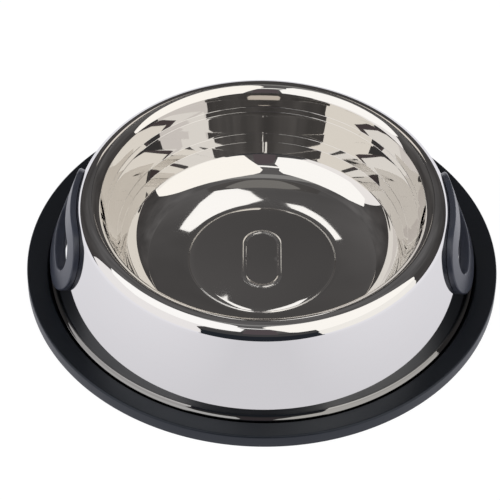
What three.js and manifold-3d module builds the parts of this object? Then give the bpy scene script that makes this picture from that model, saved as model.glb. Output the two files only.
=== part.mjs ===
// Stainless steel pet bowl with a rubber base ring and two hand holes.
// Millimetres, +Z up. The origin is the centre of the base on the floor.
// The hand holes lie on the X axis: the right one at +X, the left one at -X.

import * as THREE from 'three';
import { mergeVertices } from 'three/addons/utils/BufferGeometryUtils.js';
import Module from 'manifold-3d';

const wasm = await Module();
wasm.setup();

// Driving dimensions

const BASE_RADIUS = 125;          // outside of the rubber ring
const RIM_HEIGHT = 53.5;          // floor to the top of the rim
const SHEET = 0.7;                // thickness of the pressed steel
const FIT = 0.15;                 // clearance between pieces that seat on each other
const SIDES = 60;                 // facets round the bowl

// Rubber base ring

const RING_HEIGHT = 7.5;
const RING_BAND = 11.1;           // rubber seen outside the lip
const RING_EDGE_ROUND = 1.1;      // round along the outer top edge
const RING_LIP_ROUND = 0.8;       // round along the inner lip
const RING_TOP_FALL = 9.6;        // degrees that the top falls towards the lip
const RING_LIP_GAP = 1.3;         // open gap between the lip and the steel
const RING_FLOOR = 1.2;           // rubber left under the steel's edge
const RING_GROOVE_DEPTH = 2;      // close-fitting part of the groove
const RING_FOOT_WIDTH = 5.2;      // foot inside the groove
const RING_FOOT_CHAMFER = 2;
const RING_SOLE_CHAMFER = 0.4;    // along the outer edge of the sole
const TREAD_COUNT = 2;            // grooves turned into the sole
const TREAD_WIDTH = 1.6;
const TREAD_DEPTH = 0.5;

// Skirt

const SKIRT_SLOPE = 18.4;         // degrees from upright
const SHOULDER_ROUND = 9.1;       // round from the rim over to the skirt
const FLARE_HEIGHT = 8;           // height where the skirt starts to flare out
const FLARE_ROUND = 4;
const FLARE_SLOPE = 60;           // degrees from upright at the end of the flare
const HEM_ROUND = 0.9;            // where the edge turns down into the ring

// Pan

const CREST_ROUND = 1;            // sharp round along the rim's highest line
const SEAM_OFFSET = 0.4;          // seam on the rim, outside its highest line
const LIP_REACH = 30;             // degrees of shoulder under which the pan's lip goes
const BEVEL_ROUND = 11;           // broad round inside the rim
const BEVEL_TOP_SLOPE = 64;       // degrees from upright where it starts
const BEVEL_END_SLOPE = 40;       // degrees from upright where it ends
const BAND_SLOPE = 19;            // degrees from upright, steep band below the rim
const BAND_DEPTH = 10.9;          // rim's top to the upper ridge
const UPPER_RIDGE_STEP = 0.85;    // steeper strip along the upper ridge
const UPPER_RIDGE_DROP = 2.65;
const WALL_SLOPE = 23.5;          // degrees from upright, main wall
const LOWER_RIDGE_SHARE = 0.525;  // lower ridge, as a share of the rim's height
const LOWER_RIDGE_STEP = 1.5;     // steeper strip along the lower ridge
const LOWER_RIDGE_DROP = 4.7;
const FOOT_SLOPE = 24.5;          // degrees from upright, wall below the lower ridge
const DISH_SLOPE = 40;            // degrees from upright where the wall turns into the dish
const DISH_ROUND = 28;            // round from there into the floor
const PAN_FLOOR = 7;              // height of the pan's floor, its upper face
const DISC_INSET = 8.9;           // edge of the raised disc, in from the floor's edge
const DISC_RISE = 0.45;
const BADGE_LENGTH = 43;          // pressed oval outline in the middle of the floor
const BADGE_WIDTH = 21;
const BADGE_LINE = 1.2;
const BADGE_RISE = 0.35;

// Hand holes

const GRIP_LENGTH = 76;           // outside of the insert, round the bowl
const GRIP_TOP_DROP = 5.6;        // rim's top to the insert's upper end
const GRIP_RISE = 9.9;            // floor to the insert's lower end
const GRIP_BAND = 10.5;           // width of the insert's face round its opening
const GRIP_STAND = 3.3;           // how far the face stands off the skirt
const GRIP_EDGE_ROUND = 0.9;
const GRIP_SEAT = 0.2;            // clearance between the insert and the skirt
const COLLAR_WALL = 2.7;          // collar that goes through the steel
const COLLAR_REACH = 0.6;         // how deep the collar goes into the retainer
const RETAINER_INSET = 1.5;       // retainer's outside, in from the insert's outside
const RETAINER_THICKNESS = 1.8;
const RETAINER_CHAMFER = 0.4;
const PEG_RADIUS = 0.6;           // pegs that hold the retainer
const PEG_SHY = 0.3;              // pegs end this far inside the retainer's back
const PEG_ROOT = 0.6;             // part of each peg inside the collar
const END_STEPS = 8;              // facets in each round end of the insert
const SIDE_STEPS = 4;             // facets along each straight side of the insert

// Profiles. A profile is a list of (radius, height) points.

const radians = THREE.MathUtils.degToRad;

function at(radius, height) {
  return new THREE.Vector2(radius, height);
}

// A point at a distance from a centre. 0 degrees points outwards and 90 points up.
function polar(centre, distance, degrees) {
  return at(
    centre.x + distance * Math.cos(radians(degrees)),
    centre.y + distance * Math.sin(radians(degrees)));
}

function arc(centre, round, from, to, steps) {
  const points = [];
  for (let i = 0; i <= steps; i++) {
    points.push(polar(centre, round, from + (to - from) * i / steps));
  }
  return points;
}

// The same line, moved sideways to the left of its direction of travel.
function beside(line, distance) {
  return line.map((point, i) => {
    const before = line[i - 1] ?? point;
    const after = line[i + 1] ?? point;
    const arriving = point.clone().sub(before).normalize();
    const leaving = after.clone().sub(point).normalize();
    const side = at(-arriving.y - leaving.y, arriving.x + leaving.x).normalize();
    const along = i > 0 ? arriving : leaving;
    const reach = distance / (side.y * along.x - side.x * along.y);
    return point.clone().addScaledVector(side, reach);
  });
}

// A solid of revolution about the Z axis. The profile ends on the axis or is closed.
function revolve(profile) {
  const geometry = new THREE.LatheGeometry(profile, SIDES);
  return geometry.rotateX(Math.PI / 2);
}

// Joins and cuts

function toSolid(geometry) {
  const bare = geometry.index ? geometry.clone() : mergeVertices(geometry);
  bare.deleteAttribute('normal');
  bare.deleteAttribute('uv');
  const merged = mergeVertices(bare, 1e-4);
  return new wasm.Manifold(new wasm.Mesh({
    numProp: 3,
    vertProperties: new Float32Array(merged.attributes.position.array),
    triVerts: new Uint32Array(merged.index.array),
  }));
}

function toGeometry(solid) {
  const mesh = solid.getMesh();
  const geometry = new THREE.BufferGeometry();
  geometry.setAttribute('position', new THREE.BufferAttribute(mesh.vertProperties, 3));
  geometry.setIndex(new THREE.BufferAttribute(mesh.triVerts, 1));
  geometry.computeVertexNormals();
  return geometry;
}

// Where the pieces meet, worked out from the base ring inwards and upwards

const lipRadius = BASE_RADIUS - RING_BAND;
const hemRadius = lipRadius - RING_LIP_GAP;
const grooveOuter = hemRadius + FIT;
const grooveInner = hemRadius - SHEET - FIT;

const flareCentreHeight = FLARE_HEIGHT + FLARE_ROUND * Math.sin(radians(SKIRT_SLOPE));
const flareBend = FLARE_ROUND + HEM_ROUND;
const hemCentre = at(
  hemRadius - HEM_ROUND,
  flareCentreHeight - flareBend * Math.sin(radians(FLARE_SLOPE)));
const flareCentre = at(
  hemCentre.x + flareBend * Math.cos(radians(FLARE_SLOPE)),
  flareCentreHeight);
const flareTop = polar(flareCentre, FLARE_ROUND, 180 + SKIRT_SLOPE);

const shoulderHeight = RIM_HEIGHT - SHOULDER_ROUND;
const coneTopHeight = shoulderHeight + SHOULDER_ROUND * Math.sin(radians(SKIRT_SLOPE));
const coneTopRadius = skirtRadius(coneTopHeight);
const rimRadius = coneTopRadius - SHOULDER_ROUND * Math.cos(radians(SKIRT_SLOPE));
const shoulderCentre = at(rimRadius, shoulderHeight);
const seamRadius = rimRadius + SEAM_OFFSET;

function skirtRadius(height) {
  return flareTop.x - (height - flareTop.y) * Math.tan(radians(SKIRT_SLOPE));
}

// Rubber base ring

function makeRing() {
  const topNormal = 90 + RING_TOP_FALL;
  const edgeCentre = at(BASE_RADIUS - RING_EDGE_ROUND, RING_HEIGHT - RING_EDGE_ROUND);
  const lipCentreRadius = lipRadius + RING_LIP_ROUND;
  const normal = polar(at(0, 0), 1, topNormal);
  const lipDrop = (edgeCentre.x - lipCentreRadius) * normal.x
    + RING_EDGE_ROUND - RING_LIP_ROUND;
  const lipCentre = at(lipCentreRadius, edgeCentre.y + lipDrop / normal.y);
  const grooveTop = RING_FLOOR + RING_GROOVE_DEPTH;
  const footInside = grooveInner - RING_FOOT_WIDTH;
  const sole = [at(footInside, 0)];
  const pitch = RING_BAND / (TREAD_COUNT + 1);
  for (let i = 1; i <= TREAD_COUNT; i++) {
    const middle = lipRadius + pitch * i;
    sole.push(
      at(middle - TREAD_WIDTH / 2, 0),
      at(middle - TREAD_WIDTH / 4, TREAD_DEPTH),
      at(middle + TREAD_WIDTH / 4, TREAD_DEPTH),
      at(middle + TREAD_WIDTH / 2, 0));
  }
  const profile = [
    ...sole,
    at(BASE_RADIUS - RING_SOLE_CHAMFER, 0),
    at(BASE_RADIUS, RING_SOLE_CHAMFER),
    ...arc(edgeCentre, RING_EDGE_ROUND, 0, topNormal, 3),
    ...arc(lipCentre, RING_LIP_ROUND, topNormal, 180, 2),
    at(grooveOuter, grooveTop),
    at(grooveOuter, RING_FLOOR),
    at(grooveInner, RING_FLOOR),
    at(grooveInner, grooveTop),
    at(footInside + RING_FOOT_CHAMFER, grooveTop),
    at(footInside, grooveTop - RING_FOOT_CHAMFER),
    sole[0],
  ];
  return revolve(profile);
}

// Inserts in the hand holes. They are drawn flat, as sections (reach, offset) swept
// round a racetrack, and then bent onto the skirt: reach is the distance from the
// racetrack's middle line and offset is the height over the steel's outer face.

const gripTop = RIM_HEIGHT - GRIP_TOP_DROP;
const gripHeight = (gripTop + GRIP_RISE) / 2;
const gripRadius = skirtRadius(gripHeight);
const outerReach = (gripTop - GRIP_RISE) / 2 / Math.cos(radians(SKIRT_SLOPE));
const openingReach = outerReach - GRIP_BAND;
const collarReach = openingReach + COLLAR_WALL;
const halfStraight = GRIP_LENGTH / 2 - outerReach;
const retainerFront = -SHEET - GRIP_SEAT;
const retainerBack = retainerFront - RETAINER_THICKNESS;
const collarEnd = retainerFront - COLLAR_REACH;
const gripSteps = 2 * (END_STEPS + SIDE_STEPS);

// Each step round the racetrack: a point on its middle line and the way outwards.
function racetrack(step) {
  const half = END_STEPS + SIDE_STEPS;
  const flip = step < half ? 1 : -1;
  const local = step % half;
  const turn = Math.min(local / END_STEPS, 1);
  const along = Math.max(local - END_STEPS, 0) / SIDE_STEPS;
  const angle = Math.PI * (turn - 0.5);
  return {
    middle: flip * halfStraight * (1 - 2 * along),
    outwards: new THREE.Vector2(flip * Math.cos(angle), flip * Math.sin(angle)),
  };
}

function racetrackPoint(step, reach) {
  const { middle, outwards } = racetrack(step);
  return new THREE.Vector2(middle + outwards.x * reach, outwards.y * reach);
}

// Bends a flat point onto the skirt: round the bowl, up the slope and off the steel.
function ontoSkirt(round, up, off) {
  const lean = radians(SKIRT_SLOPE);
  const radius = gripRadius - up * Math.sin(lean) + off * Math.cos(lean);
  const height = gripHeight + up * Math.cos(lean) + off * Math.sin(lean);
  const azimuth = round / gripRadius;
  return new THREE.Vector3(radius * Math.cos(azimuth), radius * Math.sin(azimuth), height);
}

function bend(geometry, placeOf) {
  const position = geometry.attributes.position;
  for (let i = 0; i < position.count; i++) {
    const flat = placeOf(new THREE.Vector3().fromBufferAttribute(position, i));
    const bent = ontoSkirt(flat.x, flat.y, flat.z);
    position.setXYZ(i, bent.x, bent.y, bent.z);
  }
  return geometry;
}

function sweepRacetrack(section) {
  const turned = new THREE.LatheGeometry([...section, section[0]], gripSteps);
  return bend(turned, (point) => {
    const turn = Math.atan2(point.x, point.z) / (2 * Math.PI);
    const step = (Math.round(turn * gripSteps) + gripSteps) % gripSteps;
    const flat = racetrackPoint(step, Math.hypot(point.x, point.z));
    return new THREE.Vector3(flat.x, flat.y, point.y);
  });
}

// A straight plug through the skirt, its ends clear of the curved steel.
function makeHoleCutter() {
  const outline = [];
  for (let step = 0; step < gripSteps; step++) {
    outline.push(racetrackPoint(step, collarReach + FIT));
  }
  const clear = (GRIP_LENGTH / 2) ** 2 / gripRadius;
  const depth = 2 * clear;
  const plug = new THREE.ExtrudeGeometry(new THREE.Shape(outline), { depth, bevelEnabled: false });
  return toSolid(bend(plug, (point) => point.setZ(point.z - clear)));
}

// The pegs stand on the collar's end and go into the retainer.
function makePeg(step, radius, from, to) {
  const place = racetrackPoint(step, openingReach + COLLAR_WALL / 2);
  const start = ontoSkirt(place.x, place.y, from);
  const end = ontoSkirt(place.x, place.y, to);
  const way = end.clone().sub(start);
  const peg = new THREE.CylinderGeometry(radius, radius, way.length(), 8);
  const upright = new THREE.Vector3(0, 1, 0);
  peg.applyQuaternion(new THREE.Quaternion().setFromUnitVectors(upright, way.normalize()));
  const centre = start.lerp(end, 0.5);
  peg.translate(centre.x, centre.y, centre.z);
  return toSolid(peg);
}

function pegSteps() {
  const half = END_STEPS + SIDE_STEPS;
  const firstHalf = [Math.round(END_STEPS / 2), END_STEPS + 1, half - 1];
  return [...firstHalf, ...firstHalf.map((step) => step + half)];
}

function makeBezel() {
  const shoulder = GRIP_STAND - GRIP_EDGE_ROUND;
  const section = [
    at(outerReach, GRIP_SEAT),
    ...arc(at(outerReach - GRIP_EDGE_ROUND, shoulder), GRIP_EDGE_ROUND, 0, 90, 3),
    ...arc(at(openingReach + GRIP_EDGE_ROUND, shoulder), GRIP_EDGE_ROUND, 90, 180, 3),
    at(openingReach, collarEnd),
    at(collarReach, collarEnd),
    at(collarReach, GRIP_SEAT),
  ];
  let bezel = toSolid(sweepRacetrack(section));
  for (const step of pegSteps()) {
    bezel = bezel.add(makePeg(step, PEG_RADIUS, collarEnd + PEG_ROOT, retainerBack + PEG_SHY));
  }
  return toGeometry(bezel);
}

function makeRetainer() {
  const outside = outerReach - RETAINER_INSET;
  const rebate = collarEnd - FIT;
  const section = [
    at(outside - RETAINER_CHAMFER, retainerBack),
    at(outside, retainerBack + RETAINER_CHAMFER),
    at(outside, retainerFront),
    at(collarReach + FIT, retainerFront),
    at(collarReach + FIT, rebate),
    at(openingReach, rebate),
    at(openingReach, retainerBack + RETAINER_CHAMFER),
    at(openingReach + RETAINER_CHAMFER, retainerBack),
  ];
  let retainer = toSolid(sweepRacetrack(section));
  for (const step of pegSteps()) {
    const hole = makePeg(step, PEG_RADIUS + FIT, collarEnd, retainerBack - RETAINER_CHAMFER);
    retainer = retainer.subtract(hole);
  }
  return toGeometry(retainer);
}

// Skirt: from its edge on the rim, over the shoulder and down into the ring's groove

function makeSkirt() {
  const seamAngle = THREE.MathUtils.radToDeg(Math.acos((SEAM_OFFSET + FIT) / SHOULDER_ROUND));
  const seen = [
    ...arc(shoulderCentre, SHOULDER_ROUND, seamAngle, SKIRT_SLOPE, 6),
    ...arc(flareCentre, FLARE_ROUND, 180 + SKIRT_SLOPE, 180 + FLARE_SLOPE, 3),
    ...arc(hemCentre, HEM_ROUND, FLARE_SLOPE, 0, 2).slice(1),
    at(hemRadius, RING_FLOOR + FIT),
  ];
  const hidden = beside(seen, -SHEET);
  const cutter = makeHoleCutter();
  const sheet = toSolid(revolve([...hidden, ...seen.reverse(), hidden[0]]));
  return toGeometry(sheet.subtract(cutter).subtract(cutter.rotate([0, 0, 180])));
}

// Pan: from its lip under the shoulder, over the rim and down to the floor

function panLine() {
  const lipRound = SHOULDER_ROUND - SHEET - FIT;
  const joggleAngle = THREE.MathUtils.radToDeg(Math.acos(SEAM_OFFSET / lipRound));
  const crestCentre = at(rimRadius, RIM_HEIGHT - CREST_ROUND);
  const bevelTop = 180 - BEVEL_TOP_SLOPE;
  const bevelEnd = 180 - BEVEL_END_SLOPE;
  const bevelCentre = polar(crestCentre, CREST_ROUND - BEVEL_ROUND, bevelTop);
  const bandTop = polar(bevelCentre, BEVEL_ROUND, bevelEnd);
  const bandEndHeight = RIM_HEIGHT - BAND_DEPTH;
  const bandFall = bandTop.y - bandEndHeight;
  const bandEnd = at(bandTop.x - bandFall * Math.tan(radians(BAND_SLOPE)), bandEndHeight);
  const wallTop = at(bandEnd.x - UPPER_RIDGE_STEP, bandEnd.y - UPPER_RIDGE_DROP);
  const ridgeHeight = RIM_HEIGHT * LOWER_RIDGE_SHARE;
  const wallFall = wallTop.y - ridgeHeight;
  const wallEnd = at(wallTop.x - wallFall * Math.tan(radians(WALL_SLOPE)), ridgeHeight);
  const footTop = at(wallEnd.x - LOWER_RIDGE_STEP, wallEnd.y - LOWER_RIDGE_DROP);
  const dishTop = PAN_FLOOR + DISH_ROUND * (1 - Math.sin(radians(DISH_SLOPE)));
  const dishRadius = footTop.x - (footTop.y - dishTop) * Math.tan(radians(FOOT_SLOPE));
  const dishCentre = at(
    dishRadius - DISH_ROUND * Math.cos(radians(DISH_SLOPE)),
    PAN_FLOOR + DISH_ROUND);
  const discEdge = dishCentre.x - DISC_INSET;
  return [
    ...arc(shoulderCentre, lipRound, 90 - LIP_REACH, joggleAngle, 2),
    at(seamRadius, RIM_HEIGHT),
    ...arc(crestCentre, CREST_ROUND, 90, bevelTop, 1),
    ...arc(bevelCentre, BEVEL_ROUND, bevelTop, bevelEnd, 2).slice(1),
    bandEnd,
    wallTop,
    wallEnd,
    footTop,
    ...arc(dishCentre, DISH_ROUND, -DISH_SLOPE, -90, 4),
    at(discEdge + DISC_RISE, PAN_FLOOR),
    at(discEdge - DISC_RISE, PAN_FLOOR + DISC_RISE),
    at(0, PAN_FLOOR + DISC_RISE),
  ];
}

function ovalPath(Kind, length, width) {
  const round = width / 2;
  const straight = length / 2 - round;
  const oval = new Kind();
  oval.absarc(0, straight, round, 0, Math.PI);
  oval.absarc(0, -straight, round, Math.PI, 2 * Math.PI);
  return oval;
}

function makeBadge() {
  const outline = ovalPath(THREE.Shape, BADGE_LENGTH, BADGE_WIDTH);
  const inner = 2 * BADGE_LINE;
  outline.holes.push(ovalPath(THREE.Path, BADGE_LENGTH - inner, BADGE_WIDTH - inner));
  const badge = new THREE.ExtrudeGeometry(outline, {
    depth: BADGE_RISE + SHEET / 2,
    bevelEnabled: false,
    curveSegments: 8,
  });
  return toSolid(badge.translate(0, 0, PAN_FLOOR + DISC_RISE - SHEET / 2));
}

function makePan() {
  const seen = panLine();
  const hidden = beside(seen, SHEET);
  const dish = toSolid(revolve([...hidden.reverse(), ...seen]));
  return toGeometry(dish.add(makeBadge()));
}

// Assembly

const polishedSteel = { color: 0xd5d3d4, roughness: 0.08, metalness: 1 };
const brushedSteel = { color: 0xd8d3cd, roughness: 0.12, metalness: 1 };
const rubber = { color: 0x1d1e22, roughness: 0.75, metalness: 0 };
const bezelPlastic = { color: 0x4b4e5a, roughness: 0.35, metalness: 0 };
const retainerPlastic = { color: 0x2b2d33, roughness: 0.5, metalness: 0 };

const bowl = new THREE.Group();
bowl.name = 'steel_pet_bowl';

function addPiece(name, geometry, surface) {
  const piece = new THREE.Mesh(geometry, new THREE.MeshStandardMaterial(surface));
  piece.name = name;
  bowl.add(piece);
}

addPiece('base_ring', makeRing(), rubber);
addPiece('outer_skirt', makeSkirt(), polishedSteel);
addPiece('bowl_pan', makePan(), brushedSteel);

for (const [side, turn] of [['right', 0], ['left', Math.PI]]) {
  addPiece(`${side}_grip_bezel`, makeBezel().rotateZ(turn), bezelPlastic);
  addPiece(`${side}_grip_retainer`, makeRetainer().rotateZ(turn), retainerPlastic);
}

export default bowl;
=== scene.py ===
"""Stainless steel pet bowl: polished pan and skirt, rubber base ring, lined hand holes."""

import math
from types import SimpleNamespace

import bmesh
import bpy
from bpy.props import FloatProperty, FloatVectorProperty, PointerProperty
from mathutils import Matrix, Vector


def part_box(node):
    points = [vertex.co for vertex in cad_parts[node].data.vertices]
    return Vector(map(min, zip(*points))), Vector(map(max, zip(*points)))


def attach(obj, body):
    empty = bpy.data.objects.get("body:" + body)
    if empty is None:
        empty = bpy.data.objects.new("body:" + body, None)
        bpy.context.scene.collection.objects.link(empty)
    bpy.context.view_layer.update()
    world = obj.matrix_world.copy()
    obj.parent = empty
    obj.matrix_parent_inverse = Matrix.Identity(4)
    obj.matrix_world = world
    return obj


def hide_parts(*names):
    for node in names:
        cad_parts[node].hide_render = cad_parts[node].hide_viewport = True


bl_info = {
    "name": "Steel Pet Bowl",
    "version": (1, 0, 0),
    "blender": (4, 5, 0),
    "location": "3D View > Sidebar > Pet Bowl",
    "description": "Makes a steel pet bowl with a rubber ring, and a small studio for it",
    "category": "Add Mesh",
}

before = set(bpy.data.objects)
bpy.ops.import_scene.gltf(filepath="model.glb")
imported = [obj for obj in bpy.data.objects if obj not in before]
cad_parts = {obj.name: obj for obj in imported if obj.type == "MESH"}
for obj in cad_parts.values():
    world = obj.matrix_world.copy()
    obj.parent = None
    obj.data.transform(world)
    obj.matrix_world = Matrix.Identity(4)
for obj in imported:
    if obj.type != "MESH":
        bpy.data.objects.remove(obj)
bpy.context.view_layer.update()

MM = 0.001

# Base ring
RING_HEIGHT = 7.5 * MM
RING_BAND = 11.1 * MM
RING_EDGE_ROUND = 1.1 * MM
RING_LIP_ROUND = 0.8 * MM
RING_TOP_FALL = 9.6
RING_LIP_GAP = 1.3 * MM
RING_FLOOR = 1.2 * MM
RING_GROOVE_DEPTH = 2 * MM
RING_FOOT_WIDTH = 5.2 * MM
TREAD_COUNT = 2
TREAD_WIDTH = 1.6 * MM
TREAD_DEPTH = 0.5 * MM
SOLE_CHAMFER = 0.3 * MM
SOLE_ROUND = 0.5 * MM
RING_LEDGE = 2 * MM

# Skirt
SHOULDER_ROUND = 9.1 * MM
FLARE_HEIGHT = 8 * MM
FLARE_ROUND = 4 * MM
FLARE_SLOPE = 60
HEM_ROUND = 0.9 * MM
# Painted shade: below this height, fading in over the next, the skirt's colour is darkened.
PAINTED_SHADE_TOP = 8.6 * MM
PAINTED_SHADE_FADE = 1.8 * MM
FIT = 0.15 * MM

# Pan
CREST_ROUND = 1 * MM
SEAM_OFFSET = 0.4 * MM
LIP_REACH = 30
BEVEL_ROUND = 11 * MM
BEVEL_TOP_SLOPE = 64
BEVEL_END_SLOPE = 40
BAND_SLOPE = 16.5
BAND_DEPTH = 10.9 * MM
BAND_ROUND = 0.8 * MM
UPPER_RIDGE_STEP = 0.96 * MM
UPPER_RIDGE_DROP = 2.65 * MM
RIDGE_LEDGE = 0.1 * MM
RIDGE_ROUND = 0.25 * MM
WALL_SLOPE = 21.5
LOWER_RIDGE_STEP = 1.7 * MM
LOWER_RIDGE_DROP = 4.7 * MM
FOOT_SLOPE = 22.5
DISH_SLOPE = 40
DISH_ROUND = 28 * MM
DISH_TOP_ROUND = 3 * MM
DISH_END_ROUND = 1.5 * MM
DISH_END_SLOPE = 69
FLOOR_SLOPE = 6.5
FLOOR_END_SLOPE = 3
FLOOR_WIDTH = 21.5 * MM
PAN_FLOOR = 7 * MM
DISC_RISE = 0.45 * MM
# Rounder than this, the two roundings overlap on the rise and throw the hidden side far
# out. Even here it folds back on itself by 0.03 mm.
DISC_ROUND = 0.65 * MM
BADGE_LENGTH = 43 * MM
BADGE_WIDTH = 21 * MM
BADGE_LINE = 2.4 * MM
BADGE_RISE = 0.35 * MM

# Hand holes
GRIP_TOP_DROP = 5.6 * MM
GRIP_RISE = 9.9 * MM
GRIP_EDGE_ROUND = 0.9 * MM
GRIP_SEAT = 0.2 * MM
COLLAR_WALL = 2.7 * MM
COLLAR_REACH = 0.6 * MM
RETAINER_INSET = 1.5 * MM
RETAINER_THICKNESS = 1.8 * MM
RETAINER_CHAMFER = 0.4 * MM
PLUG_DEPTH = 14 * MM

# How finely the round shapes are drawn
TURN_STEPS = 256
END_STEPS = 32
SIDE_STEPS = 20
ARC_STEP = 5
FLOOR_STEP = 0.5
BADGE_RINGS = 50
SHARP_EDGE = 38


class BowlSizes(bpy.types.PropertyGroup):
    base_radius: FloatProperty(
        name="Base radius", description="Outside of the rubber ring",
        default=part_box("base_ring")[1][0], unit="LENGTH")
    rim_height: FloatProperty(
        name="Rim height", description="Floor to the top of the rim",
        default=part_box("bowl_pan")[1][2], unit="LENGTH")
    sheet: FloatProperty(
        name="Sheet", description="Thickness of the pressed steel",
        default=0.7 * MM, unit="LENGTH")
    skirt_slope: FloatProperty(
        name="Skirt slope", description="Lean of the skirt from upright",
        default=math.radians(18.4), subtype="ANGLE")
    ridge_height: FloatProperty(
        name="Lower ridge", description="Height of the ridge in the pan's wall",
        default=28.1 * MM, unit="LENGTH")
    grip_length: FloatProperty(
        name="Insert length", description="Outside of each insert, round the bowl",
        default=76 * MM, unit="LENGTH")
    grip_band: FloatProperty(
        name="Insert band", description="Width of the insert's face round its opening",
        default=10.5 * MM, unit="LENGTH")
    grip_stand: FloatProperty(
        name="Insert stand", description="How far the insert's face stands off the skirt",
        default=3.3 * MM, unit="LENGTH")


def linear(code):
    """A linear colour from an sRGB hex value."""
    parts = [int(code[i:i + 2], 16) / 255 for i in (1, 3, 5)]
    return [c / 12.92 if c <= 0.04045 else ((c + 0.055) / 1.055) ** 2.4 for c in parts]


def colour_property(name, description, code):
    return FloatVectorProperty(
        name=name, description=description, default=linear(code),
        size=3, min=0, max=1, subtype="COLOR")


class BowlFinishes(bpy.types.PropertyGroup):
    skirt_steel: colour_property("Skirt steel", "Polished steel of the skirt", "#dcdad8")
    pan_steel: colour_property("Pan steel", "Polished steel of the pan", "#dcd9d5")
    rubber: colour_property("Rubber", "Base ring", "#070b12")
    insert: colour_property("Insert", "Plastic of the hand hole inserts", "#393d49")
    floor: colour_property("Floor", "Floor and backdrop", "#f1f1f8")


# Profiles: lists of (radius, height) points

def at(radius, height):
    return Vector((radius, height))


def polar(centre, distance, degrees):
    """A point at a distance from a centre. 0 degrees points outwards and 90 points up."""
    angle = math.radians(degrees)
    return centre + distance * Vector((math.cos(angle), math.sin(angle)))


def arc(centre, radius, start, end, step=ARC_STEP):
    steps = max(2, math.ceil(abs(end - start) / step))
    return [polar(centre, radius, start + (end - start) * i / steps) for i in range(steps + 1)]


def ladder(start, end, steps):
    """Points between two points, without them."""
    return [start.lerp(end, i / steps) for i in range(1, steps)]


def rounded(before, corner, after, radius):
    """An arc that rounds a corner between two straight stretches."""
    arriving = (before - corner).normalized()
    leaving = (after - corner).normalized()
    half = arriving.angle(leaving) / 2
    centre = corner + (arriving + leaving).normalized() * radius / math.sin(half)
    first = corner + arriving * radius / math.tan(half) - centre
    last = corner + leaving * radius / math.tan(half) - centre
    turn = math.atan2(first.x * last.y - first.y * last.x, first.dot(last))
    steps = max(2, math.ceil(math.degrees(abs(turn)) / ARC_STEP))
    spokes = [Matrix.Rotation(turn * i / steps, 2) @ first for i in range(steps + 1)]
    return [centre + spoke for spoke in spokes]


def beside(line, distance):
    """The same line, moved sideways to the left of its direction of travel. Where a bend is
    tighter than the distance, the moved line folds back on itself. On the pan's hidden side
    that leaves folds up to 0.18 mm long, one of them with an open edge."""
    moved = []
    for i, point in enumerate(line):
        arriving = (point - line[max(i - 1, 0)]).normalized()
        leaving = (line[min(i + 1, len(line) - 1)] - point).normalized()
        side = Vector((-arriving.y - leaving.y, arriving.x + leaving.x)).normalized()
        along = arriving if i > 0 else leaving
        moved.append(point + side * distance / (side.y * along.x - side.x * along.y))
    return moved


def places():
    """Where the pieces meet, worked out from the base ring inwards and upwards."""
    sizes = bpy.context.scene.bowl_sizes
    slope = sizes.skirt_slope
    degrees = math.degrees(slope)
    p = SimpleNamespace(slope=slope, degrees=degrees, sheet=sizes.sheet)
    p.base_radius = sizes.base_radius
    p.rim_height = sizes.rim_height
    p.lip_radius = sizes.base_radius - RING_BAND
    p.hem_radius = p.lip_radius - RING_LIP_GAP
    bend = FLARE_ROUND + HEM_ROUND
    flare_height = FLARE_HEIGHT + FLARE_ROUND * math.sin(slope)
    lean = math.radians(FLARE_SLOPE)
    p.hem_centre = at(p.hem_radius - HEM_ROUND, flare_height - bend * math.sin(lean))
    p.flare_centre = at(p.hem_centre.x + bend * math.cos(lean), flare_height)
    p.flare_top = polar(p.flare_centre, FLARE_ROUND, 180 + degrees)
    shoulder = p.rim_height - SHOULDER_ROUND
    p.cone_top = cone_point(p, shoulder + SHOULDER_ROUND * math.sin(slope))
    p.rim_radius = p.cone_top.x - SHOULDER_ROUND * math.cos(slope)
    p.shoulder_centre = at(p.rim_radius, shoulder)
    grip_top = p.rim_height - GRIP_TOP_DROP
    p.grip = cone_point(p, (grip_top + GRIP_RISE) / 2)
    p.outer_reach = (grip_top - GRIP_RISE) / 2 / math.cos(slope)
    p.opening_reach = p.outer_reach - sizes.grip_band
    p.collar_reach = p.opening_reach + COLLAR_WALL
    p.half_straight = sizes.grip_length / 2 - p.outer_reach
    p.stand = sizes.grip_stand
    p.retainer_front = -p.sheet - GRIP_SEAT
    p.retainer_back = p.retainer_front - RETAINER_THICKNESS
    p.collar_end = p.retainer_front - COLLAR_REACH
    return p


def cone_point(p, height):
    return at(p.flare_top.x - (height - p.flare_top.y) * math.tan(p.slope), height)


# Meshes

def spun(profile, closed, steps=TURN_STEPS, axis=(0, 0, 1)):
    """A bmesh turned about an axis from a profile."""
    bm = bmesh.new()
    verts = [bm.verts.new((point.x, 0, point.y)) for point in profile]
    pairs = list(zip(verts, verts[1:]))
    if closed:
        pairs.append((verts[-1], verts[0]))
    edges = [bm.edges.new(pair) for pair in pairs]
    bmesh.ops.spin(
        bm, geom=verts + edges, cent=(0, 0, 0), axis=axis,
        angle=math.tau, steps=steps, use_merge=True, use_duplicate=False)
    bmesh.ops.remove_doubles(bm, verts=bm.verts, dist=0.002 * MM)
    bmesh.ops.recalc_face_normals(bm, faces=bm.faces)
    return bm


def finish_piece(bm, name, nodes, material, sharp=SHARP_EDGE):
    """Turns a bmesh into a piece that stands for its CAD nodes."""
    mesh = bpy.data.meshes.new(name)
    bm.to_mesh(mesh)
    bm.free()
    piece = bpy.data.objects.new(name, mesh)
    bpy.context.scene.collection.objects.link(piece)
    smooth_but_edges(mesh, sharp)
    mesh.materials.append(material)
    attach(piece, "root")
    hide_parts(*nodes)
    return piece


def smooth_but_edges(mesh, degrees):
    mesh.shade_smooth()
    mesh.set_sharp_from_angle(angle=math.radians(degrees))


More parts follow.
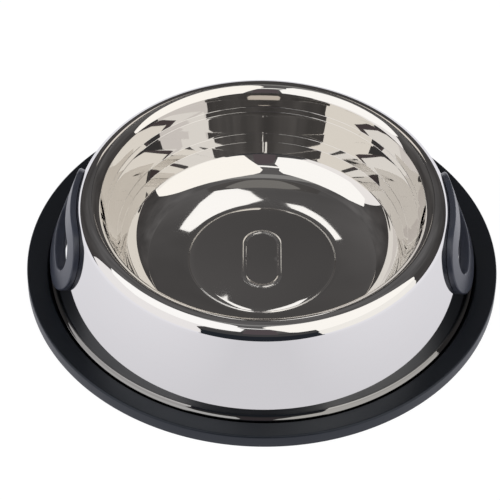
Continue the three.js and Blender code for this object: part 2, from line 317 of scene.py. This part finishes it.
def racetrack(p, turn, reach):
    """A point of the racetrack at a fraction of a full turn, at a distance from its middle line."""
    half = END_STEPS + SIDE_STEPS
    step = round(turn * 2 * half) % (2 * half)
    flip = 1 if step < half else -1
    local = step % half
    angle = math.pi * (min(local / END_STEPS, 1) - 0.5)
    along = max(local - END_STEPS, 0) / SIDE_STEPS
    middle = p.half_straight * (1 - 2 * along)
    return flip * (middle + reach * math.cos(angle)), flip * reach * math.sin(angle)


def onto_skirt(p, along, up, off):
    """Bends a flat point onto the skirt: round the bowl, up the slope and off the steel."""
    radius = p.grip.x - up * math.sin(p.slope) + off * math.cos(p.slope)
    height = p.grip.y + up * math.cos(p.slope) + off * math.sin(p.slope)
    azimuth = along / p.grip.x
    return Vector((radius * math.cos(azimuth), radius * math.sin(azimuth), height))


def racetrack_ring(p, section, side):
    """A closed section of (reach, offset) swept round the racetrack and bent onto one side."""
    steps = 2 * (END_STEPS + SIDE_STEPS)
    bm = spun(section, True, steps)
    turned = Matrix.Rotation(0 if side > 0 else math.pi, 3, "Z")
    for vert in bm.verts:
        turn = math.atan2(vert.co.y, vert.co.x) / math.tau
        along, up = racetrack(p, turn, math.hypot(vert.co.x, vert.co.y))
        vert.co = turned @ onto_skirt(p, along, up, vert.co.z)
    return bm


# Materials

def add(tree, kind, links=None, **settings):
    """Adds a shader node. links maps an input to a constant or to the socket that feeds it."""
    node = tree.nodes.new(kind)
    for name, value in settings.items():
        setattr(node, name, value)
    for key, value in (links or {}).items():
        if isinstance(value, bpy.types.NodeSocket):
            tree.links.new(value, node.inputs[key])
        else:
            node.inputs[key].default_value = value
    return node


def new_material(name):
    material = bpy.data.materials.new(name)
    material.use_nodes = True
    tree = material.node_tree
    shader = tree.nodes["Principled BSDF"]
    return material, tree, shader


def turned_coordinates(tree):
    """Object coordinates, and the same point as (radius, 0, height), so that a pattern on it
    runs round the bowl in circles."""
    place = add(tree, "ShaderNodeTexCoord").outputs["Object"]
    flat = add(tree, "ShaderNodeVectorMath", {0: place, 1: (1, 1, 0)}, operation="MULTIPLY")
    radius = add(tree, "ShaderNodeVectorMath", {0: flat.outputs[0]}, operation="LENGTH")
    height = add(tree, "ShaderNodeSeparateXYZ", {0: place}).outputs["Z"]
    turned = add(tree, "ShaderNodeCombineXYZ", {"X": radius.outputs["Value"], "Z": height})
    return place, turned.outputs[0]


def polished_stainless(name, colour, roughness, painted_shade_top=0.0):
    """Stainless steel, pressed and then mirror polished on a wheel. The eye sees sharp
    reflections that wobble a little, with very fine lines round the bowl and faint smears.
    Below the given height the colour is darkened: painted shade along the hem."""
    material, tree, shader = new_material(name)
    place, turned = turned_coordinates(tree)
    # Polishing lines are about 0.05 mm apart; at 0.4 mm they just show.
    lines = add(tree, "ShaderNodeTexNoise", {"Vector": turned, "Scale": 2500, "Detail": 2})
    smears = add(tree, "ShaderNodeTexNoise", {"Vector": place, "Scale": 28, "Detail": 4})
    wobble = add(tree, "ShaderNodeTexNoise", {"Vector": place, "Scale": 22, "Detail": 1})
    rough = add(tree, "ShaderNodeMapRange", {
        "Value": smears.outputs["Fac"], "From Min": 0.35, "From Max": 0.75,
        "To Min": roughness, "To Max": roughness * 1.8})
    tree.links.new(rough.outputs["Result"], shader.inputs["Roughness"])
    worn = add(tree, "ShaderNodeMapRange", {
        "Value": lines.outputs["Fac"], "To Min": 0.97, "To Max": 1.0})
    height = add(tree, "ShaderNodeSeparateXYZ", {0: place}).outputs["Z"]
    # Painted shade: towards the bottom the colour falls to 0.38 of its value.
    painted_shade = add(tree, "ShaderNodeMapRange", {
        "Value": height, "From Min": painted_shade_top - PAINTED_SHADE_FADE, "From Max": painted_shade_top,
        "To Min": 0.38, "To Max": 1.0})
    level = add(tree, "ShaderNodeMath", {
        0: worn.outputs["Result"], 1: painted_shade.outputs["Result"]}, operation="MULTIPLY")
    tone = add(tree, "ShaderNodeVectorMath", {0: (*colour,), 3: level.outputs[0]},
               operation="SCALE")
    tree.links.new(tone.outputs[0], shader.inputs["Base Color"])
    dent = add(tree, "ShaderNodeBump", {
        "Strength": 1.0, "Distance": 0.02 * MM, "Height": wobble.outputs["Fac"]})
    brush = add(tree, "ShaderNodeBump", {
        "Strength": 0.25, "Distance": 0.001 * MM, "Height": lines.outputs["Fac"],
        "Normal": dent.outputs["Normal"]})
    tree.links.new(brush.outputs["Normal"], shader.inputs["Normal"])
    shader.inputs["Metallic"].default_value = 1.0
    return material


def moulded_rubber(colour):
    """Black synthetic rubber from a fine-eroded mould. The eye sees a deep soft black with a
    broad dull sheen and a grain that is only just there."""
    material, tree, shader = new_material("moulded_rubber")
    place, turned = turned_coordinates(tree)
    grain = add(tree, "ShaderNodeTexNoise", {"Vector": place, "Scale": 2600, "Detail": 3})
    dust = add(tree, "ShaderNodeTexNoise", {"Vector": place, "Scale": 60, "Detail": 6})
    flow = add(tree, "ShaderNodeTexNoise", {"Vector": turned, "Scale": 900, "Detail": 1})
    tint = add(tree, "ShaderNodeMapRange", {
        "Value": dust.outputs["Fac"], "From Min": 0.3, "From Max": 0.8,
        "To Min": 0.85, "To Max": 1.25})
    tone = add(tree, "ShaderNodeVectorMath", {0: (*colour,), 3: tint.outputs["Result"]},
               operation="SCALE")
    tree.links.new(tone.outputs[0], shader.inputs["Base Color"])
    rough = add(tree, "ShaderNodeMapRange", {
        "Value": dust.outputs["Fac"], "To Min": 0.34, "To Max": 0.5})
    tree.links.new(rough.outputs["Result"], shader.inputs["Roughness"])
    ripple = add(tree, "ShaderNodeBump", {
        "Strength": 0.3, "Distance": 0.02 * MM, "Height": flow.outputs["Fac"]})
    bump = add(tree, "ShaderNodeBump", {
        "Strength": 0.5, "Distance": 0.02 * MM, "Height": grain.outputs["Fac"],
        "Normal": ripple.outputs["Normal"]})
    tree.links.new(bump.outputs["Normal"], shader.inputs["Normal"])
    shader.inputs["IOR"].default_value = 1.52
    shader.inputs["Specular Tint"].default_value = (0.8, 0.87, 1.0, 1)
    return material


def moulded_plastic(name, colour, roughness):
    """Dark grey polypropylene, injection moulded in a polished mould. The eye sees a satin
    skin with a faint flow mottle and soft highlights along its edges."""
    material, tree, shader = new_material(name)
    place = add(tree, "ShaderNodeTexCoord").outputs["Object"]
    mottle = add(tree, "ShaderNodeTexNoise", {"Vector": place, "Scale": 140, "Detail": 4})
    skin = add(tree, "ShaderNodeTexNoise", {"Vector": place, "Scale": 1800, "Detail": 2})
    tint = add(tree, "ShaderNodeMapRange", {
        "Value": mottle.outputs["Fac"], "To Min": 0.9, "To Max": 1.12})
    tone = add(tree, "ShaderNodeVectorMath", {0: (*colour,), 3: tint.outputs["Result"]},
               operation="SCALE")
    tree.links.new(tone.outputs[0], shader.inputs["Base Color"])
    rough = add(tree, "ShaderNodeMapRange", {
        "Value": mottle.outputs["Fac"], "To Min": roughness * 0.85, "To Max": roughness * 1.15})
    tree.links.new(rough.outputs["Result"], shader.inputs["Roughness"])
    bump = add(tree, "ShaderNodeBump", {
        "Strength": 0.35, "Distance": 0.01 * MM, "Height": skin.outputs["Fac"]})
    tree.links.new(bump.outputs["Normal"], shader.inputs["Normal"])
    shader.inputs["IOR"].default_value = 1.49
    return material


# Pieces

class BOWL_OT_base_ring(bpy.types.Operator):
    """Makes the rubber ring that the steel stands in"""
    bl_idname = "bowl.base_ring"
    bl_label = "Base Ring"

    def execute(self, context):
        p = places()
        top = 90 + RING_TOP_FALL
        edge = at(p.base_radius - RING_EDGE_ROUND, RING_HEIGHT - RING_EDGE_ROUND)
        normal = polar(at(0, 0), 1, top)
        lip_x = p.lip_radius + RING_LIP_ROUND
        fall = (edge.x - lip_x) * normal.x + RING_EDGE_ROUND - RING_LIP_ROUND
        lip = at(lip_x, edge.y + fall / normal.y)
        groove_outer = p.hem_radius + FIT
        groove_inner = p.hem_radius - p.sheet - FIT
        groove_top = RING_FLOOR + RING_GROOVE_DEPTH
        inside = groove_inner - RING_FOOT_WIDTH
        profile = [at(inside, SOLE_CHAMFER), at(inside + SOLE_CHAMFER, 0)]
        for i in range(1, TREAD_COUNT + 1):
            middle = p.lip_radius + RING_BAND * i / (TREAD_COUNT + 1)
            for step, height in ((-0.5, 0), (-0.25, 1), (0.25, 1), (0.5, 0)):
                profile.append(at(middle + step * TREAD_WIDTH, height * TREAD_DEPTH))
        profile += arc(at(p.base_radius - SOLE_ROUND, SOLE_ROUND), SOLE_ROUND, -90, 0)
        profile += arc(edge, RING_EDGE_ROUND, 0, top)
        profile += arc(lip, RING_LIP_ROUND, top, 180)
        profile += [
            at(groove_outer, groove_top), at(groove_outer, RING_FLOOR),
            at(groove_inner, RING_FLOOR), at(groove_inner, groove_top)]
        profile += [at(inside + RING_LEDGE, groove_top), at(inside, groove_top - RING_LEDGE)]
        rubber = moulded_rubber(context.scene.bowl_finishes.rubber)
        finish_piece(spun(profile, True), "rubber_ring", ["base_ring"], rubber)
        return {"FINISHED"}


class BOWL_OT_skirt(bpy.types.Operator):
    """Makes the polished skirt with its two hand holes"""
    bl_idname = "bowl.skirt"
    bl_label = "Skirt"

    def execute(self, context):
        p = places()
        seam = math.degrees(math.acos((SEAM_OFFSET + FIT) / SHOULDER_ROUND))
        seen = arc(p.shoulder_centre, SHOULDER_ROUND, seam, p.degrees)
        seen += ladder(seen[-1], p.flare_top, 24)
        seen += arc(p.flare_centre, FLARE_ROUND, 180 + p.degrees, 180 + FLARE_SLOPE)
        seen += arc(p.hem_centre, HEM_ROUND, FLARE_SLOPE, 0)[1:]
        seen.append(at(p.hem_radius, RING_FLOOR + FIT))
        hidden = beside(seen, -p.sheet)
        # The skirt's steel takes the painted shade along its hem.
        steel = polished_stainless(
            "mirror_polished_steel", context.scene.bowl_finishes.skirt_steel, 0.018,
            PAINTED_SHADE_TOP)
        skirt = finish_piece(
            spun(hidden + seen[::-1], True), "polished_skirt", ["outer_skirt"],
            steel)
        for side in (1, -1):
            self.cut_hole(p, skirt, side)
        smooth_but_edges(skirt.data, SHARP_EDGE)
        return {"FINISHED"}

    def cut_hole(self, p, skirt, side):
        """Cuts a racetrack hole with a plug that stands square to the steel."""
        reach = p.collar_reach + FIT
        plug = [
            at(0, -PLUG_DEPTH), at(reach, -PLUG_DEPTH),
            at(reach, PLUG_DEPTH), at(0, PLUG_DEPTH)]
        bm = spun(plug, False, 2 * (END_STEPS + SIDE_STEPS))
        turned = Matrix.Rotation(0 if side > 0 else math.pi, 3, "Z")
        for vert in bm.verts:
            distance = math.hypot(vert.co.x, vert.co.y)
            if distance > reach / 2:
                turn = math.atan2(vert.co.y, vert.co.x) / math.tau
                along, up = racetrack(p, turn, distance)
            else:
                along, up = 0, 0
            vert.co = turned @ onto_skirt(p, along, up, vert.co.z)
        bmesh.ops.recalc_face_normals(bm, faces=bm.faces)
        mesh = bpy.data.meshes.new("hole_plug")
        bm.to_mesh(mesh)
        bm.free()
        cutter = bpy.data.objects.new("hole_plug", mesh)
        bpy.context.scene.collection.objects.link(cutter)
        cut = skirt.modifiers.new("hand hole", "BOOLEAN")
        cut.operation = "DIFFERENCE"
        cut.solver = "EXACT"
        cut.object = cutter
        depsgraph = bpy.context.evaluated_depsgraph_get()
        result = bpy.data.meshes.new_from_object(skirt.evaluated_get(depsgraph))
        skirt.modifiers.clear()
        skirt.data = result
        bpy.data.objects.remove(cutter)


class BOWL_OT_pan(bpy.types.Operator):
    """Makes the polished pan with its ridges and raised disc"""
    bl_idname = "bowl.pan"
    bl_label = "Pan"

    def execute(self, context):
        p = places()
        steel = polished_stainless(
            "polished_pan_steel", context.scene.bowl_finishes.pan_steel, 0.015)
        seen = self.seen_line(p, context.scene.bowl_sizes)
        hidden = beside(seen, p.sheet)
        hidden[-1].x = 0
        bm = spun(hidden[::-1] + seen, False)
        self.press_badge(bm)
        finish_piece(bm, "polished_pan", ["bowl_pan"], steel)
        return {"FINISHED"}

    def seen_line(self, p, sizes):
        """From the lip under the shoulder, over the rim and down to the middle of the floor."""
        lip_round = SHOULDER_ROUND - p.sheet - FIT
        joggle = math.degrees(math.acos(SEAM_OFFSET / lip_round))
        crest = at(p.rim_radius, p.rim_height - CREST_ROUND)
        bevel_top = 180 - BEVEL_TOP_SLOPE
        bevel_end = 180 - BEVEL_END_SLOPE
        bevel = polar(crest, CREST_ROUND - BEVEL_ROUND, bevel_top)
        band_top = polar(bevel, BEVEL_ROUND, bevel_end)
        band_end_height = p.rim_height - BAND_DEPTH
        lean = math.tan(math.radians(BAND_SLOPE))
        band_end = at(band_top.x - (band_top.y - band_end_height) * lean, band_end_height)
        wall_top = band_end - Vector((UPPER_RIDGE_STEP, UPPER_RIDGE_DROP))
        fall = wall_top.y - sizes.ridge_height
        wall_end = wall_top - Vector((fall * math.tan(math.radians(WALL_SLOPE)), fall))
        foot_top = wall_end - Vector((LOWER_RIDGE_STEP, LOWER_RIDGE_DROP))
        foot_lean = math.tan(math.radians(FOOT_SLOPE))
        # The floor outside the disc rises a little, and ever more, towards the dish.
        outer = math.radians(90 - FLOOR_SLOPE)
        inner = math.radians(90 - FLOOR_END_SLOPE)
        floor_round = FLOOR_WIDTH / (math.cos(outer) - math.cos(inner))
        floor_centre = PAN_FLOOR + floor_round * math.sin(inner)
        floor_top = floor_centre - floor_round * math.sin(outer)
        dish_centre = floor_top + DISH_ROUND * math.sin(math.radians(DISH_END_SLOPE))
        dish_height = dish_centre - DISH_ROUND * math.sin(math.radians(DISH_SLOPE))
        dish_top = at(foot_top.x - (foot_top.y - dish_height) * foot_lean, dish_height)
        dish = at(
            dish_top.x - DISH_ROUND * math.cos(math.radians(DISH_SLOPE)), dish_centre)
        dish_end = polar(dish, DISH_ROUND, -DISH_END_SLOPE)
        floor = at(dish_end.x - floor_round * math.cos(outer), floor_centre)
        step_out = polar(floor, floor_round, FLOOR_END_SLOPE - 90)
        step_in = step_out + Vector((-DISC_RISE, DISC_RISE))
        middle = at(0, step_in.y)
        line = arc(p.shoulder_centre, lip_round, 90 - LIP_REACH, joggle)
        line.append(at(p.rim_radius + SEAM_OFFSET, p.rim_height))
        line += arc(crest, CREST_ROUND, 90, bevel_top)
        broad = arc(bevel, BEVEL_ROUND, bevel_top, bevel_end)
        line += broad[1:-1]
        line += rounded(broad[-2], band_top, band_end, BAND_ROUND)
        line += ladder(line[-1], band_end, 4)
        line += self.crease(band_top, band_end, wall_top)
        line += self.crease(band_end, wall_top, wall_end)
        line += ladder(line[-1], wall_end, 8)
        line += self.crease(wall_top, wall_end, foot_top)
        line += self.crease(wall_end, foot_top, dish_top)
        dished = arc(dish, DISH_ROUND, -DISH_SLOPE, -DISH_END_SLOPE)
        broad = arc(floor, floor_round, FLOOR_SLOPE - 90, FLOOR_END_SLOPE - 90, FLOOR_STEP)
        line += rounded(foot_top, dish_top, dished[1], DISH_TOP_ROUND)
        line += dished[1:-1]
        line += rounded(dished[-2], dish_end, broad[1], DISH_END_ROUND)
        line += broad[1:-1]
        line += rounded(broad[-2], step_out, step_in, DISC_ROUND)
        line += rounded(step_out, step_in, middle, DISC_ROUND)
        badge_edge = at(BADGE_LENGTH / 2 + BADGE_LINE / 4, middle.y)
        line += ladder(line[-1], badge_edge, 6)
        badge_inside = at(BADGE_WIDTH / 2 - BADGE_LINE, middle.y)
        line += ladder(badge_edge, badge_inside, BADGE_RINGS)
        line.append(badge_inside)
        line += ladder(badge_inside, middle, 4)
        line.append(middle)
        return line

    def crease(self, before, corner, after):
        """A ridge's edge: a ledge so narrow that it shows as one fine line."""
        inner = corner + Vector((-RIDGE_LEDGE, -RIDGE_LEDGE))
        line = rounded(before, corner, inner, RIDGE_ROUND)
        return line + rounded(corner, inner, after, RIDGE_ROUND)

    def press_badge(self, bm):
        """Raises the bare oval outline in the middle of the disc."""
        half_straight = (BADGE_LENGTH - BADGE_WIDTH) / 2
        for vert in bm.verts:
            past = max(abs(vert.co.y) - half_straight, 0)
            inside = BADGE_WIDTH / 2 - math.hypot(vert.co.x, past)
            share = 1 - abs(inside - BADGE_LINE / 2) / (BADGE_LINE / 2)
            if share > 0:
                share = min(share * 1.5, 1)
                vert.co.z += BADGE_RISE * share * share * (3 - 2 * share)


class BOWL_OT_inserts(bpy.types.Operator):
    """Makes the inserts that line the two hand holes"""
    bl_idname = "bowl.inserts"
    bl_label = "Hand Hole Inserts"

    def execute(self, context):
        p = places()
        colour = context.scene.bowl_finishes.insert
        face = moulded_plastic("moulded_insert_plastic", colour, 0.3)
        back = moulded_plastic("moulded_retainer_plastic", colour, 0.45)
        top = p.stand - GRIP_EDGE_ROUND
        bezel = [at(p.outer_reach, GRIP_SEAT)]
        bezel += arc(at(p.outer_reach - GRIP_EDGE_ROUND, top), GRIP_EDGE_ROUND, 0, 90)
        bezel += arc(at(p.opening_reach + GRIP_EDGE_ROUND, top), GRIP_EDGE_ROUND, 90, 180)
        bezel += [
            at(p.opening_reach, p.collar_end), at(p.collar_reach, p.collar_end),
            at(p.collar_reach, GRIP_SEAT)]
        outside = p.outer_reach - RETAINER_INSET
        rebate = p.collar_end - FIT
        chamfer = RETAINER_CHAMFER
        retainer = [
            at(outside - chamfer, p.retainer_back), at(outside, p.retainer_back + chamfer),
            at(outside, p.retainer_front), at(p.collar_reach + FIT, p.retainer_front),
            at(p.collar_reach + FIT, rebate), at(p.opening_reach, rebate),
            at(p.opening_reach, p.retainer_back + chamfer),
            at(p.opening_reach + chamfer, p.retainer_back)]
        for side, word in ((1, "right"), (-1, "left")):
            finish_piece(
                racetrack_ring(p, bezel, side), word + "_insert_face",
                [word + "_grip_bezel"], face, 50)
            finish_piece(
                racetrack_ring(p, retainer, side), word + "_insert_back",
                [word + "_grip_retainer"], back)
        return {"FINISHED"}


# Stage

def direction(azimuth, elevation):
    """The way from the bowl. Azimuth 0 is in front and 90 is right."""
    turn = math.radians(azimuth)
    rise = math.radians(elevation)
    return Vector((
        math.cos(rise) * math.sin(turn), -math.cos(rise) * math.cos(turn), math.sin(rise)))


def bare_material(name):
    """A material whose tree is still empty."""
    material = bpy.data.materials.new(name)
    material.use_nodes = True
    tree = material.node_tree
    tree.nodes.clear()
    return material, tree


def stage_piece(bm, name, material):
    """Turns a bmesh into a piece of the studio."""
    mesh = bpy.data.meshes.new(name)
    bm.to_mesh(mesh)
    bm.free()
    piece = bpy.data.objects.new(name, mesh)
    bpy.context.scene.collection.objects.link(piece)
    mesh.materials.append(material)
    return piece


def glowing(name, colour, strength):
    material, tree = bare_material(name)
    glow = add(tree, "ShaderNodeEmission", {"Color": (*colour, 1), "Strength": strength})
    add(tree, "ShaderNodeOutputMaterial", {"Surface": glow.outputs[0]})
    return material


def board(name, distance, outline, colour, strength):
    """A flat glowing board of the studio that faces the bowl. The outline's corners are
    (azimuth, elevation) pairs as the bowl sees them."""
    ways = [direction(*corner) for corner in outline]
    facing = sum(ways, Vector()).normalized()
    bm = bmesh.new()
    bm.faces.new([bm.verts.new(way * distance / way.dot(facing)) for way in ways])
    stage_piece(bm, name, glowing(name, colour, strength)).visible_camera = False


def patch(left, right, low, high):
    return [(left, low), (right, low), (right, high), (left, high)]


class BOWL_OT_stage(bpy.types.Operator):
    """Makes the floor, the lights and the camera"""
    bl_idname = "bowl.stage"
    bl_label = "Stage"

    def execute(self, context):
        self.floor(context)
        self.world(context)
        self.room()
        self.lights()
        self.camera(context)
        context.scene.view_settings.view_transform = "Standard"
        return {"FINISHED"}

    def floor(self, context):
        """A pale table, white to the camera. Its glow hides nearly all of the bowl's shadow
        and, as nothing shades it, also shows white inside the skirt, through the hand holes."""
        bm = bmesh.new()
        bmesh.ops.create_grid(bm, x_segments=1, y_segments=1, size=6)
        material, tree = bare_material("pale_floor")
        colour = (*context.scene.bowl_finishes.floor, 1)
        path = add(tree, "ShaderNodeLightPath")
        place = add(tree, "ShaderNodeTexCoord").outputs["Object"]
        across = add(tree, "ShaderNodeSeparateXYZ", {0: place}).outputs["X"]
        sideways = add(tree, "ShaderNodeMath", {0: across}, operation="ABSOLUTE")
        # Painted light: in reflections the floor glows brighter away from its middle line, 0.98 to
        # 1.22.
        lit = add(tree, "ShaderNodeMapRange", {
            "Value": sideways.outputs[0], "From Min": 0.06, "From Max": 0.3,
            "To Min": 0.98, "To Max": 1.22})
        paint = add(tree, "ShaderNodeBsdfDiffuse", {"Color": colour})
        white = add(tree, "ShaderNodeEmission", {"Color": (1, 1, 1, 1), "Strength": 1.1})
        seen = add(tree, "ShaderNodeMixShader", {
            0: 0.85, 1: paint.outputs[0], 2: white.outputs[0]})
        mirrored = add(tree, "ShaderNodeEmission", {
            "Color": colour, "Strength": lit.outputs["Result"]})
        glossy = add(tree, "ShaderNodeMixShader", {
            0: path.outputs["Is Glossy Ray"], 1: paint.outputs[0], 2: mirrored.outputs[0]})
        mix = add(tree, "ShaderNodeMixShader", {
            0: path.outputs["Is Camera Ray"], 1: glossy.outputs[0], 2: seen.outputs[0]})
        add(tree, "ShaderNodeOutputMaterial", {"Surface": mix.outputs[0]})
        stage_piece(bm, "studio_floor", material)

    def world(self, context):
        """White behind the bowl, and a plain soft light from all round."""
        world = bpy.data.worlds.new("studio")
        context.scene.world = world
        world.use_nodes = True
        tree = world.node_tree
        tree.nodes.clear()
        path = add(tree, "ShaderNodeLightPath")
        metal = add(tree, "ShaderNodeMath", {
            0: path.outputs["Is Camera Ray"], 1: path.outputs["Is Glossy Ray"]}, operation="ADD")
        shown = add(tree, "ShaderNodeMath", {
            0: metal.outputs[0], 1: path.outputs["Is Transmission Ray"]},
            operation="ADD", use_clamp=True)
        seen = add(tree, "ShaderNodeMix", {
            "Factor": shown.outputs[0], "A": (0.35, 0.35, 0.36, 1),
            "B": (1, 1, 1, 1)}, data_type="RGBA")
        sky = add(tree, "ShaderNodeBackground", {"Color": seen.outputs["Result"]})
        add(tree, "ShaderNodeOutputWorld", {"Surface": sky.outputs[0]})

    def room(self):
        """The dim room that the polished steel reflects: walls and a ceiling, no floor."""
        bm = bmesh.new()
        bmesh.ops.create_cube(bm, size=5)
        under = [face for face in bm.faces if face.calc_center_median().z < -2]
        bmesh.ops.delete(bm, geom=under, context="FACES")
        bmesh.ops.translate(bm, verts=bm.verts, vec=(0, 0, 2.5 - 1.6))
        material, tree = bare_material("studio_room")
        place = add(tree, "ShaderNodeTexCoord").outputs["Object"]
        height = add(tree, "ShaderNodeSeparateXYZ", {0: place}).outputs["Z"]
        lift = add(tree, "ShaderNodeMapRange", {
            "Value": height, "From Min": 1.0, "From Max": 3.4, "To Min": 0.0, "To Max": 1.0})
        clutter = add(tree, "ShaderNodeTexNoise", {"Vector": place, "Scale": 1.1, "Detail": 3})
        tone = add(tree, "ShaderNodeMix", {
            "Factor": lift.outputs["Result"], "A": (*linear("#4a4848"), 1),
            "B": (*linear("#656465"), 1)}, data_type="RGBA")
        level = add(tree, "ShaderNodeMapRange", {
            "Value": clutter.outputs["Fac"], "From Min": 0.3, "From Max": 0.7,
            "To Min": 0.75, "To Max": 1.25})
        glow = add(tree, "ShaderNodeEmission", {
            "Color": tone.outputs["Result"], "Strength": level.outputs["Result"]})
        add(tree, "ShaderNodeOutputMaterial", {"Surface": glow.outputs[0]})
        room = stage_piece(bm, "studio_room", material)
        room.visible_camera = False
        room.visible_diffuse = False
        room.visible_shadow = False

    def lights(self):
        """Softboxes and dark things round the bowl, placed as its reflections show them."""
        white = (1, 1, 1)
        warm = linear("#fffdf9")
        blue_black = linear("#2a2e35")
        cool = linear("#f8f6f7")
        left_box = [
            (-110, 44), (-112, 56), (-103, 68), (-82, 76), (-48, 79), (-28, 75),
            (-22, 68), (-13, 61), (-13, 45), (-36, 40), (-75, 35), (-98, 36)]
        right_box = [
            (30, 20), (26, 30), (16, 42), (11, 57), (6, 66), (1, 76), (12, 83), (50, 85),
            (88, 82), (100, 74), (101, 55), (98, 34), (91, 20)]
        board("left_softbox", 1.5, left_box, white, 1.35)
        board("right_softbox", 1.5, right_box, warm, 1.35)
        board("softbox_neck", 1.55, patch(-30, 8, 65.5, 69), white, 1.35)
        board("left_reflector", 1.6, [
            (-104, -4), (-30, -4), (-31, 12), (-36, 30), (-30, 52), (-60, 48), (-104, 46)],
            cool, 1.2)
        board("right_reflector", 1.6, [(30, -4), (87, -4), (92, 26), (29, 26)], warm, 1.2)
        board("front_dark", 1.5, [(-31, -5), (31, -5), (29, 20), (-32, 20)], blue_black, 1.0)
        self.table_end(blue_black)
        board("front_middle", 1.55, patch(-32, 30, 18, 35), linear("#4a4a4c"), 1.0)
        board("front_block", 1.5, [(-11, 33), (9, 33), (9, 60), (2, 64), (-11, 60)],
              linear("#5e565a"), 1.0)
        board("ceiling_strip", 1.9, [(-80, 68), (80, 68), (98, 68), (-98, 68)],
              linear("#8f8f8f"), 1.1)
        board("back_light", 1.8, patch(158, 203, 28, 33.5), linear("#fbf3ea"), 1.0)
        board("back_left_light", 1.8, [
            (179.2, 50.7), (178.4, 52.4), (177.3, 53.1), (175.9, 53), (175.4, 51),
            (175.3, 48), (176.6, 47.5), (177.9, 48.8)], white, 1.35)
        board("back_right_light", 1.8, [
            (-179.8, 50.4), (-179, 50.3), (-178.3, 49.2), (-177.7, 47.2), (-178.7, 46.9),
            (-178.9, 47.8), (-179.8, 49.3)], white, 1.35)

    def table_end(self, colour):
        """Straight ahead of the bowl the table ends, and the dark room shows."""
        bm = bmesh.new()
        corners = ((-0.3, -0.5), (0.3, -0.5), (1, -1.7), (-1, -1.7))
        bm.faces.new([bm.verts.new((x, y, MM)) for x, y in corners])
        piece = stage_piece(bm, "table_end", glowing("table_end", colour, 1.0))
        piece.visible_camera = False
        piece.visible_diffuse = False
        piece.visible_shadow = False

    def camera(self, context):
        """The photograph's view, from about 45 degrees above."""
        lens = bpy.data.cameras.new("camera")
        camera = bpy.data.objects.new("camera", lens)
        context.scene.collection.objects.link(camera)
        distance = 1.25
        elevation = math.radians(45.45)
        azimuth = math.radians(-0.8)
        back = Vector((0, -math.cos(elevation), math.sin(elevation)))
        place = Matrix.Rotation(azimuth, 3, "Z") @ back * distance
        look = (-place).to_track_quat("-Z", "Y")
        roll = Matrix.Rotation(math.radians(1.12), 4, "Z")
        camera.matrix_world = Matrix.Translation(place) @ look.to_matrix().to_4x4() @ roll
        lens.lens = 168
        lens.shift_x = -0.0238
        lens.shift_y = 0.0368
        context.scene.camera = camera


class BOWL_PT_panel(bpy.types.Panel):
    """Lists the pieces of the bowl"""
    bl_idname = "BOWL_PT_panel"
    bl_label = "Pet Bowl"
    bl_space_type = "VIEW_3D"
    bl_region_type = "UI"
    bl_category = "Pet Bowl"

    def draw(self, context):
        column = self.layout.column()
        for group in (context.scene.bowl_sizes, context.scene.bowl_finishes):
            for name in group.bl_rna.properties.keys():
                if name not in ("rna_type", "name"):
                    column.prop(group, name)
        for operator in OPERATORS:
            column.operator(operator.bl_idname)


OPERATORS = (
    BOWL_OT_base_ring,
    BOWL_OT_skirt,
    BOWL_OT_pan,
    BOWL_OT_inserts,
    BOWL_OT_stage,
)
CLASSES = (BowlSizes, BowlFinishes, *OPERATORS, BOWL_PT_panel)


def register():
    for cls in CLASSES:
        bpy.utils.register_class(cls)
    bpy.types.Scene.bowl_sizes = PointerProperty(type=BowlSizes)
    bpy.types.Scene.bowl_finishes = PointerProperty(type=BowlFinishes)


def unregister():
    del bpy.types.Scene.bowl_finishes
    del bpy.types.Scene.bowl_sizes
    for cls in reversed(CLASSES):
        bpy.utils.unregister_class(cls)


def main():
    register()
    bpy.ops.bowl.base_ring()
    bpy.ops.bowl.skirt()
    bpy.ops.bowl.pan()
    bpy.ops.bowl.inserts()
    bpy.ops.bowl.stage()


if __name__ == "__main__":
    main()
